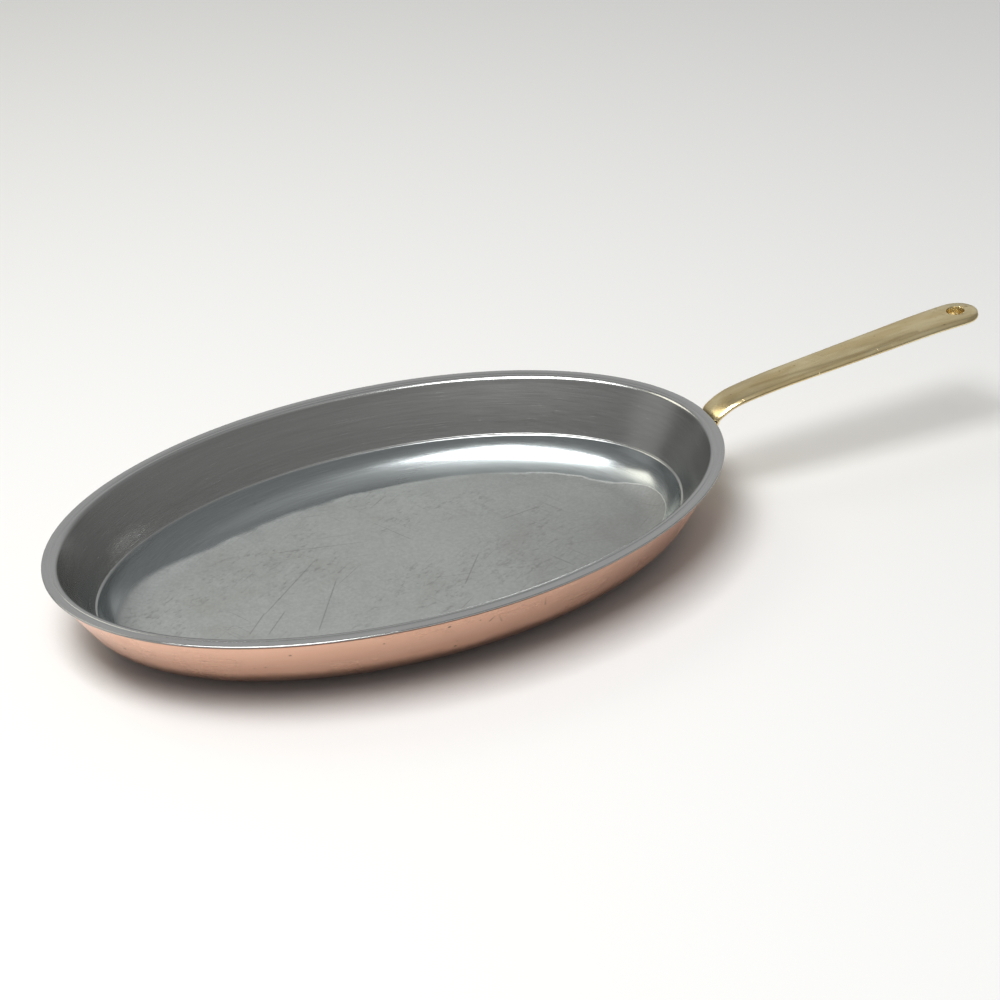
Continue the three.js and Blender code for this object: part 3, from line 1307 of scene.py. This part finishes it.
def start_material(
    name: str, metallic: float
) -> tuple[bpy.types.Material, Wiring, bpy.types.Node]:
    """Start a material around one Principled BSDF.

    Args:
        name: The material's name.
        metallic: How metallic it is all over.

    Returns:
        The material, its wiring and its shader.
    """
    material = bpy.data.materials.new(name)
    material.use_nodes = True
    shader = material.node_tree.nodes["Principled BSDF"]
    shader.inputs["Metallic"].default_value = metallic
    return material, Wiring(material.node_tree), shader


def round_the_oval(w: Wiring, place: Socket, oval: Oval) -> tuple[Socket, Socket, Socket]:
    """Turn a place into distances that follow the oval.

    Args:
        w: The wiring of the material.
        place: Object coordinates.
        oval: The oval of the rim.

    Returns:
        A place whose X goes round the oval and whose Y and Z go across it, the share of the
        way out from the middle, and the height.
    """
    x, y, height = w.parts(place)
    along = w.maths("DIVIDE", x, oval.half_length)
    across = w.maths("DIVIDE", y, oval.half_width)
    out = w.maths("SQRT", w.plus(w.times(along, along), w.times(across, across)))
    turn = w.maths("ARCTAN2", across, along)
    follow = w.node("ShaderNodeCombineXYZ", {
        0: w.times(turn, oval.mean_half), 1: w.times(out, oval.mean_half), 2: height,
    })
    return follow.outputs[0], out, height


@dataclass(frozen=True)
class SteelSurvey:
    """Where a point of the steel lies and what has marked it, as sockets of its material."""

    place: Socket
    along: Socket
    out: Socket
    height: Socket
    on_floor: Socket
    on_corner: Socket
    fine: Socket
    cloud: Socket
    lines: Socket
    scratches: Socket
    strokes: Socket


@dataclass(frozen=True)
class SteelFinish:
    """Satin steel: rubbed flange and walls, a worn and scratched cooking floor, and painted shade,
    highlight and reflections.
    """

    oval: Oval
    effects: SharedEffects
    wall: Colour = (0.49, 0.495, 0.48)
    rim: Colour = (0.53, 0.54, 0.53)
    # The corner's colour is the steel's, made darker and bluer as a painted reflection of the dark
    # surroundings that it mirrors.
    corner: Colour = (0.46, 0.495, 0.5)
    floor: Colour = (0.425, 0.44, 0.43)
    pale: Colour = (0.475, 0.49, 0.48)
    # Painted highlight: this near-white colour is laid as a thin bright line along the worn
    # floor's edge.
    painted_highlight: Colour = (0.86, 0.88, 0.86)
    stain: Colour = (0.32, 0.305, 0.27)
    dark: Colour = (0.13, 0.125, 0.12)
    # Painted dark reflection: this dark reddish colour on the lower part of the rim's outer edge
    # stands in for the shadowed copper that the edge mirrors.
    rim_edge_shade: Colour = (0.09, 0.05, 0.035)
    wall_roughness: float = 0.25
    stroke_width: float = 0.55 * MM
    relief_strength: float = 0.4
    relief_height: float = 0.06 * MM

    # Heights between which a zone starts and is complete.
    corner_heights: Span = (17 * MM, 15.8 * MM)
    rim_heights: Span = (43.8 * MM, 44.7 * MM)
    # The painted dark reflection on the lower outer edge of the rim.
    rim_shade_heights: Span = (44.62 * MM, 44.4 * MM)
    polish_heights: Span = (40 * MM, 42.5 * MM)
    dull_heights: Span = (9 * MM, 3.2 * MM)

    # The same along the pan.
    dull_run: Span = (0, 70 * MM)
    # Painted shade: the worn floor grows darker towards the right along this run.
    painted_shade_run: Span = (15 * MM, 110 * MM)
    # Painted highlight line along the worn floor's edge, on this run towards the right.
    border_highlight_run: Span = (70 * MM, 100 * MM)

    # The same for the rim's outer edge, as a share of the way out.
    outer_edge: Span = (0.9955, 0.9965)

    # The worn floor's upper limit, and how it climbs to the left and towards the tip side.
    floor_limit: float = 2.8 * MM
    floor_uneven: float = 0.6 * MM
    left_run: Span = (-80 * MM, -150 * MM)
    left_climb: float = 4 * MM
    tip_side: Point = (0.966, -0.259, 0)
    tip_run: Span = (116 * MM, 176 * MM)
    tip_climb: float = 8.5 * MM
    blur_run: Span = (30 * MM, -60 * MM)
    blur_widths: Span = (0.3 * MM, 0.65 * MM)

    long_scratches: tuple[Stroke, ...] = (
        (-38, 25, -77, -13),
        (-76, -11, -89, -27),
        (-33, 3, -57, -41),
        (-66, -14, -80, -31),
        (42, -8, 24, -34),
        (88, 20, 64, 17),
    )

    def material(self) -> bpy.types.Material:
        """Build the material.

        Returns:
            The material.
        """
        material, w, shader = start_material("worn_satin_steel", 1)
        at = self.survey(w)
        w.feed(shader.inputs["Base Color"], self.colour(w, at))
        w.feed(shader.inputs["Roughness"], self.roughness(w, at))
        w.feed(shader.inputs["Normal"], self.relief(w, at))
        return material

    def survey(self, w: Wiring) -> SteelSurvey:
        """Find where a point lies and what has marked it.

        Args:
            w: The wiring of the material.

        Returns:
            The zones and marks.
        """
        place = w.object_place()
        follow, out, height = round_the_oval(w, place, self.oval)
        cloud = w.noise(place, 60, 4, 0.6)
        on_floor = self.worn_floor(w, place, cloud)
        scratches = w.effect(self.effects.scratches, Place=place, Spread=1.3, Least=0.72)
        strokes = draw_strokes(
            w, self.effects, on_plan(w, place), self.long_scratches, self.stroke_width
        )
        return SteelSurvey(
            place=place, along=w.parts(place)[0], out=out, height=height, on_floor=on_floor,
            on_corner=w.remap(height, *self.corner_heights),
            fine=w.noise(place, 620, 4, 0.65), cloud=cloud,
            lines=w.effect(self.effects.rub_lines, Place=follow, Fineness=1500, Length=30),
            scratches=w.times(scratches, w.plus(0.06, on_floor)), strokes=strokes,
        )

    def worn_floor(self, w: Wiring, place: Socket, cloud: Socket) -> Socket:
        """Find the worn cooking floor, which climbs into the corner at both ends.

        Args:
            w: The wiring of the material.
            place: Object coordinates.
            cloud: A noise that makes its edge uneven.

        Returns:
            A mask from 0 to 1.
        """
        along, _, height = w.parts(place)
        toward_tip = w.vector("DOT_PRODUCT", place, self.tip_side, output="Value")
        at_left = w.remap(along, *self.left_run, 0, self.left_climb)
        at_tip = w.remap(toward_tip, *self.tip_run, 0, self.tip_climb)
        uneven = w.times(w.minus(cloud, 0.5), self.floor_uneven)
        limit = w.plus(self.floor_limit, at_left, at_tip, uneven)
        blur = w.plus(w.remap(along, *self.blur_run, *self.blur_widths), w.times(at_left, 0.6))
        return w.remap(w.maths("DIVIDE", w.minus(limit, height), blur), -0.5, 0.5)

    def colour(self, w: Wiring, at: SteelSurvey) -> Socket:
        """Mix the colour: the worn floor first, then the sheet round it, with painted shade,
        highlight and reflections.

        Args:
            w: The wiring of the material.
            at: The zones and marks.

        Returns:
            The colour.
        """
        stains = w.effect(self.effects.stains, Place=at.place, Scale=24, Least=0.5)
        specks = w.effect(self.effects.specks, Place=at.place, Scale=210, Size=0.2)
        etched = w.times(
            w.effect(
                self.effects.stains, Place=w.stretched(at.place, (1, 2.2, 1), -24),
                Scale=190, Least=0.53,
            ),
            w.remap(w.noise(at.place, 19, 3), 0.44, 0.58),
        )
        worn = w.blend(w.remap(at.fine, 0.36, 0.66), self.floor, self.pale)
        worn = w.tint(worn, self.stain, stains, 0.24)
        worn = w.tint(worn, self.dark, etched, 0.4)
        # Painted shade: darken the worn floor towards the right.
        worn = w.blend(w.remap(at.along, *self.painted_shade_run, 0, 0.27), worn, self.dark)
        worn = w.tint(worn, self.dark, at.scratches, 0.3)
        worn = w.tint(worn, self.dark, at.strokes, 0.4)
        # Painted highlight: a thin bright line along the worn floor's edge.
        border_highlight = w.times(
            at.on_floor, w.minus(1, at.on_floor), 4, w.remap(at.along, *self.border_highlight_run),
            at.fine,
        )
        # Painted dark reflection on the lower part of the rim's outer edge.
        on_rim_edge_shade = w.times(
            w.maths("GREATER_THAN", at.out, self.outer_edge[1]),
            w.remap(at.height, *self.rim_shade_heights, 0, 0.9),
        )
        colour = w.blend(w.remap(at.height, *self.rim_heights), self.wall, self.rim)
        # The corner takes its darker, bluer colour, a painted reflection.
        colour = w.blend(at.on_corner, colour, self.corner)
        colour = w.blend(at.on_floor, colour, worn)
        colour = w.blend(border_highlight, colour, self.painted_highlight)
        colour = w.tint(colour, self.dark, specks, 0.12)
        # Lay the painted dark reflection on the rim's outer edge.
        colour = w.blend(on_rim_edge_shade, colour, self.rim_edge_shade)
        return w.rubbed(colour, at.lines, w.minus(0.4, w.times(at.on_floor, 0.25)))

    def roughness(self, w: Wiring, at: SteelSurvey) -> Socket:
        """Work out the roughness: polished corner and rim, dull worn floor.

        Args:
            w: The wiring of the material.
            at: The zones and marks.

        Returns:
            The roughness.
        """
        sheet = w.minus(
            self.wall_roughness,
            w.times(at.on_corner, 0.04),
            w.remap(at.height, *self.polish_heights, 0, 0.04),
            w.remap(at.out, *self.outer_edge, 0, 0.09),
        )
        dulled = w.times(
            w.remap(at.height, *self.dull_heights), w.remap(at.along, *self.dull_run)
        )
        return w.plus(
            sheet,
            w.times(w.maths("MAXIMUM", dulled, at.on_floor), 0.17),
            w.times(at.on_floor, 0.25),
            w.times(at.lines, 0.12),
            w.times(w.minus(at.cloud, 0.5), at.on_floor, 0.15),
        )

    def relief(self, w: Wiring, at: SteelSurvey) -> Socket:
        """Work out the relief: lines, scratches, a pitted floor and slow waves.

        Args:
            w: The wiring of the material.
            at: The zones and marks.

        Returns:
            The normal.
        """
        cut = w.minus(w.times(at.lines, 0.12), at.scratches, w.times(at.strokes, 1.5))
        pits = w.times(at.fine, at.on_floor, 0.5)
        waves = w.times(w.noise(at.place, 14, 2), 3)
        return w.bump(w.plus(cut, pits, waves), self.relief_strength, self.relief_height)


@dataclass(frozen=True)
class CopperFinish:
    """Pale polished copper with fine lines round the oval, a few dark marks and painted shade low
    and under the rim.
    """

    oval: Oval
    effects: SharedEffects
    copper: Colour = (0.94, 0.585, 0.425)
    # This colour serves the real tarnish stains and the painted shade low on the copper.
    tarnish_and_shade: Colour = (0.42, 0.225, 0.145)
    # The darkest painted shade, low down and just under the rim.
    deep_shade: Colour = (0.17, 0.08, 0.055)
    dark: Colour = (0.1, 0.055, 0.04)
    clean_roughness: float = 0.24
    mark_width: float = 0.8 * MM
    ragged_depth: float = 6 * MM
    relief_strength: float = 0.35
    relief_height: float = 0.05 * MM

    # Heights between which a zone starts and is complete.
    # Painted shade: the copper grows darker towards the bottom, from these heights down.
    low_shade_heights: Span = (21 * MM, 13 * MM)
    lowest_shade_heights: Span = (15 * MM, 6 * MM)
    # Painted shadow: a dark band on the copper just under the rim.
    rim_shade_heights: Span = (41.8 * MM, 42.5 * MM)

    marks: tuple[Stroke, ...] = (
        (12, -118.5, 41, 16.5, -111, 29),
        (38, -114, 41, 39.5, -108.6, 30.5),
        (13.5, -117, 38, 9, -113, 33),
        (-100, -95, 39, -88, -97, 36),
    )

    def material(self) -> bpy.types.Material:
        """Build the material.

        Returns:
            The material.
        """
        material, w, shader = start_material("rubbed_copper", 1)
        place = w.object_place()
        follow, _, height = round_the_oval(w, place, self.oval)
        lines = w.effect(self.effects.rub_lines, Place=follow, Fineness=1300, Length=22)
        scratches = w.effect(self.effects.scratches, Place=place, Spread=1, Least=0.76)
        stains = w.effect(self.effects.stains, Place=follow, Scale=30, Least=0.53)
        specks = w.effect(self.effects.specks, Place=place, Scale=190, Size=0.2)
        marks = draw_strokes(w, self.effects, place, self.marks, self.mark_width)
        # The painted shade low down has a ragged upper edge.
        wavy = w.times(w.minus(w.noise(follow, 45, 3, 0.6), 0.5), self.ragged_depth)
        ragged = w.plus(height, wavy)
        colour = w.tint(self.copper, self.tarnish_and_shade, stains, 0.2)
        # Painted shade: darker towards the bottom.
        colour = w.blend(w.remap(ragged, *self.low_shade_heights, 0, 0.9), colour, self.tarnish_and_shade)
        colour = w.blend(w.remap(ragged, *self.lowest_shade_heights, 0, 0.85), colour, self.deep_shade)
        # Painted shadow just under the rim.
        colour = w.blend(w.remap(height, *self.rim_shade_heights, 0, 0.9), colour, self.deep_shade)
        colour = w.tint(colour, self.dark, specks, 0.55)
        colour = w.tint(colour, self.dark, marks, 0.65)
        rough = w.plus(self.clean_roughness, w.times(lines, 0.16), w.times(stains, 0.1))
        relief = w.minus(w.times(lines, 0.3), scratches, marks)
        normal = w.bump(relief, self.relief_strength, self.relief_height)
        w.feed(shader.inputs["Base Color"], w.rubbed(colour, lines, 0.45))
        w.feed(shader.inputs["Roughness"], rough)
        w.feed(shader.inputs["Normal"], normal)
        return material


@dataclass(frozen=True)
class BrassFinish:
    """A worn brass casting with a slightly uneven skin, faint tarnish and painted dark reflection
    bands.
    """

    effects: SharedEffects
    name: str = "worn_cast_brass"
    brass: Colour = (0.79, 0.63, 0.335)
    pale: Colour = (0.89, 0.76, 0.455)
    # This colour serves the real tarnish stains, the painted reflection bands and the darker root.
    tarnish_and_shade: Colour = (0.4, 0.29, 0.13)
    dark: Colour = (0.16, 0.1, 0.05)
    clean_roughness: float = 0.24
    reflection_band_width: float = 1.9 * MM
    relief_strength: float = 0.4
    relief_height: float = 0.08 * MM

    # Where along the handle its root starts to be coloured darker, and where that ends.
    darker_root_start: Span = (186 * MM, 193 * MM)
    darker_root_end: Span = (202 * MM, 228 * MM)

    # Painted dark reflection: darker bands along the lower side of the strap's top, standing in
    # for the darker surroundings it mirrors there.
    reflection_bands: tuple[Stroke, ...] = (
        (203, -0.6, 229, -4),
        (223, -3.2, 248, -6.3),
        (243, -5.8, 274, -8),
        (266, -7.8, 303, -6.6),
        (288, -6.2, 304, -7.4),
    )

    def material(self) -> bpy.types.Material:
        """Return the brass material, built the first time that it is asked for."""
        return bpy.data.materials.get(self.name) or self.make()

    def make(self) -> bpy.types.Material:
        """Build the material.

        Returns:
            The material.
        """
        material, w, shader = start_material(self.name, 1)
        place = w.object_place()
        along = w.parts(place)[0]
        drawn = w.stretched(place, (0.22, 1, 1))
        lines = w.effect(self.effects.rub_lines, Place=place, Fineness=900, Length=25)
        scratches = w.effect(self.effects.scratches, Place=place, Spread=1.6, Least=0.74)
        stains = w.effect(self.effects.stains, Place=drawn, Scale=90, Least=0.5)
        specks = w.effect(self.effects.specks, Place=place, Scale=330, Size=0.2)
        reflection_bands = draw_strokes(w, self.effects, on_plan(w, place), self.reflection_bands, self.reflection_band_width)
        patches = w.remap(w.noise(drawn, 130, 4, 0.6), 0.38, 0.62)
        # Colour the root darker between these places.
        darker_root = w.times(
            w.remap(along, *self.darker_root_start, 0, 0.28), w.remap(along, *self.darker_root_end, 1, 0)
        )
        colour = w.blend(patches, self.brass, self.pale)
        colour = w.tint(colour, self.tarnish_and_shade, stains, 0.3)
        # Lay the painted dark reflection bands.
        colour = w.tint(colour, self.tarnish_and_shade, reflection_bands, 0.5)
        colour = w.blend(darker_root, colour, self.tarnish_and_shade)
        colour = w.tint(colour, self.dark, specks, 0.6)
        rough = w.plus(self.clean_roughness, w.times(lines, 0.12), w.times(stains, 0.12))
        skin = w.times(w.noise(drawn, 110, 2), 1.3)
        relief = w.plus(w.minus(skin, scratches), w.times(lines, 0.3))
        normal = w.bump(relief, self.relief_strength, self.relief_height)
        w.feed(shader.inputs["Base Color"], colour)
        w.feed(shader.inputs["Roughness"], rough)
        w.feed(shader.inputs["Normal"], normal)
        return material


# The studio


@dataclass(frozen=True)
class Lamp:
    """One soft area lamp that faces the pan, turned in its own plane by some degrees."""

    name: str
    place: Point
    size: tuple[float, float]
    turn: float
    power: float
    colour: Colour

    def hang(self) -> None:
        """Hang the lamp."""
        clear_selection()
        bpy.ops.object.light_add(type="AREA", location=self.place)
        lamp = bpy.context.object
        lamp.name = self.name
        lamp.data.shape = "RECTANGLE"
        lamp.data.size, lamp.data.size_y = self.size
        lamp.data.energy = self.power
        lamp.data.color = self.colour
        facing = (-Vector(self.place)).to_track_quat("-Z", "Y").to_matrix()
        turned = facing @ Matrix.Rotation(math.radians(self.turn), 3, "Z")
        lamp.rotation_euler = turned.to_euler()


@dataclass
class Studio:
    """A pale floor, soft lamps, a plain sky and the camera."""

    azimuth: float = math.radians(-19.09)
    elevation: float = math.radians(31)
    roll: float = math.radians(-4.52)
    distance: float = 1.181
    target: Point = (0.07102, 0.03613, 0.0025)
    lens: float = 78.08
    sensor: float = 36
    floor_size: float = 14
    floor_colour: Colour = (0.83, 0.83, 0.82)
    floor_roughness: float = 0.9
    floor_gloss: float = 0.1

    # The main lamp hangs above the pan's left, and the smaller one behind it.
    lamps: tuple[Lamp, ...] = (
        Lamp("main_lamp", (-0.44, -0.32, 1.6), (0.65, 1.25), 74, 27, (1, 1, 1)),
        Lamp("back_lamp", (-0.8, 1.08, 1.4), (0.7, 0.75), 0, 3.6, (1, 0.95, 0.82)),
    )

    # The sky is brighter to one side, with a glow at its top and a soft patch beside the pan.
    # A reach is how far towards its side or upwards a part of it starts and is complete.
    bright_side: Point = (0.33, 0.94, 0)
    bright_reach: Span = (0.5, 0.86)
    sky_tones: Span = (0.25, 0.54)
    low_reach: Span = (0.1, 0.42)
    low_share: float = 0.6
    top_reach: Span = (0.82, 0.96)
    top_glow: float = 0.12
    soft_side: Point = (-0.94, 0.23, 0.25)
    soft_reach: Span = (0.94, 0.985)
    soft_glow: float = 0.17

    def build(self) -> None:
        """Set up the whole studio."""
        self.lay_floor()
        self.light_sky()
        for lamp in self.lamps:
            lamp.hang()
        self.place_camera()
        bpy.context.scene.view_settings.view_transform = "Standard"

    def lay_floor(self) -> None:
        """Lay the pale floor under the pan."""
        clear_selection()
        bpy.ops.mesh.primitive_plane_add(size=self.floor_size)
        floor = bpy.context.object
        floor.name = "studio_floor"
        material, _, shader = start_material("pale_floor", 0)
        shader.inputs["Base Color"].default_value = (*self.floor_colour, 1)
        shader.inputs["Roughness"].default_value = self.floor_roughness
        shader.inputs["Specular IOR Level"].default_value = self.floor_gloss
        floor.data.materials.append(material)

    def light_sky(self) -> None:
        """Light the surroundings softly, brighter behind the pan than in front of it."""
        world = bpy.data.worlds.new("plain_sky")
        bpy.context.scene.world = world
        world.use_nodes = True
        w = Wiring(world.node_tree)
        way = w.node("ShaderNodeTexCoord").outputs["Generated"]
        behind = w.vector("DOT_PRODUCT", way, self.bright_side, output="Value")
        beside = w.vector("DOT_PRODUCT", way, self.soft_side, output="Value")
        rise = w.parts(way)[2]
        tone = w.plus(
            w.times(
                w.remap(behind, *self.bright_reach, *self.sky_tones),
                w.remap(rise, *self.low_reach, self.low_share, 1),
            ),
            w.remap(rise, *self.top_reach, 0, self.top_glow),
            w.remap(beside, *self.soft_reach, 0, self.soft_glow),
        )
        back = world.node_tree.nodes["Background"]
        w.feed(back.inputs["Color"], w.grey(tone))
        back.inputs["Strength"].default_value = 1

    def place_camera(self) -> None:
        """Stand the camera where the photograph was taken from."""
        back = Vector((
            math.sin(self.azimuth) * math.cos(self.elevation),
            -math.cos(self.azimuth) * math.cos(self.elevation),
            math.sin(self.elevation),
        ))
        right = (-back).cross(Vector((0, 0, 1))).normalized()
        up = right.cross(-back)
        right_rolled = right * math.cos(self.roll) + up * math.sin(self.roll)
        up_rolled = -right * math.sin(self.roll) + up * math.cos(self.roll)
        clear_selection()
        bpy.ops.object.camera_add()
        camera = bpy.context.object
        camera.name = "photo_camera"
        camera.data.sensor_width = self.sensor
        camera.data.lens = self.lens
        frame = Matrix((right_rolled, up_rolled, back)).transposed().to_4x4()
        frame.translation = Vector(self.target) + back * self.distance
        camera.matrix_world = frame
        bpy.context.scene.camera = camera


def main() -> None:
    """Build the pan in order, then the studio."""
    logging.basicConfig(level=logging.INFO, format="%(message)s")
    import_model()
    oval = Oval()
    effects = SharedEffects()
    brass = BrassFinish(effects)
    lining = Lining(oval, SteelFinish(oval, effects))
    jacket = Jacket(oval, CopperFinish(oval, effects))
    rivets = Rivets(oval, brass)
    handle = Handle(oval, jacket, rivets, brass)
    pieces = [lining.build(), jacket.build(), handle.build(), *rivets.build()]
    for piece in pieces:
        LOG.info("%s: %d faces", piece.name, len(piece.data.polygons))
    Studio().build()
    clear_selection()


if __name__ == "__main__":
    main()
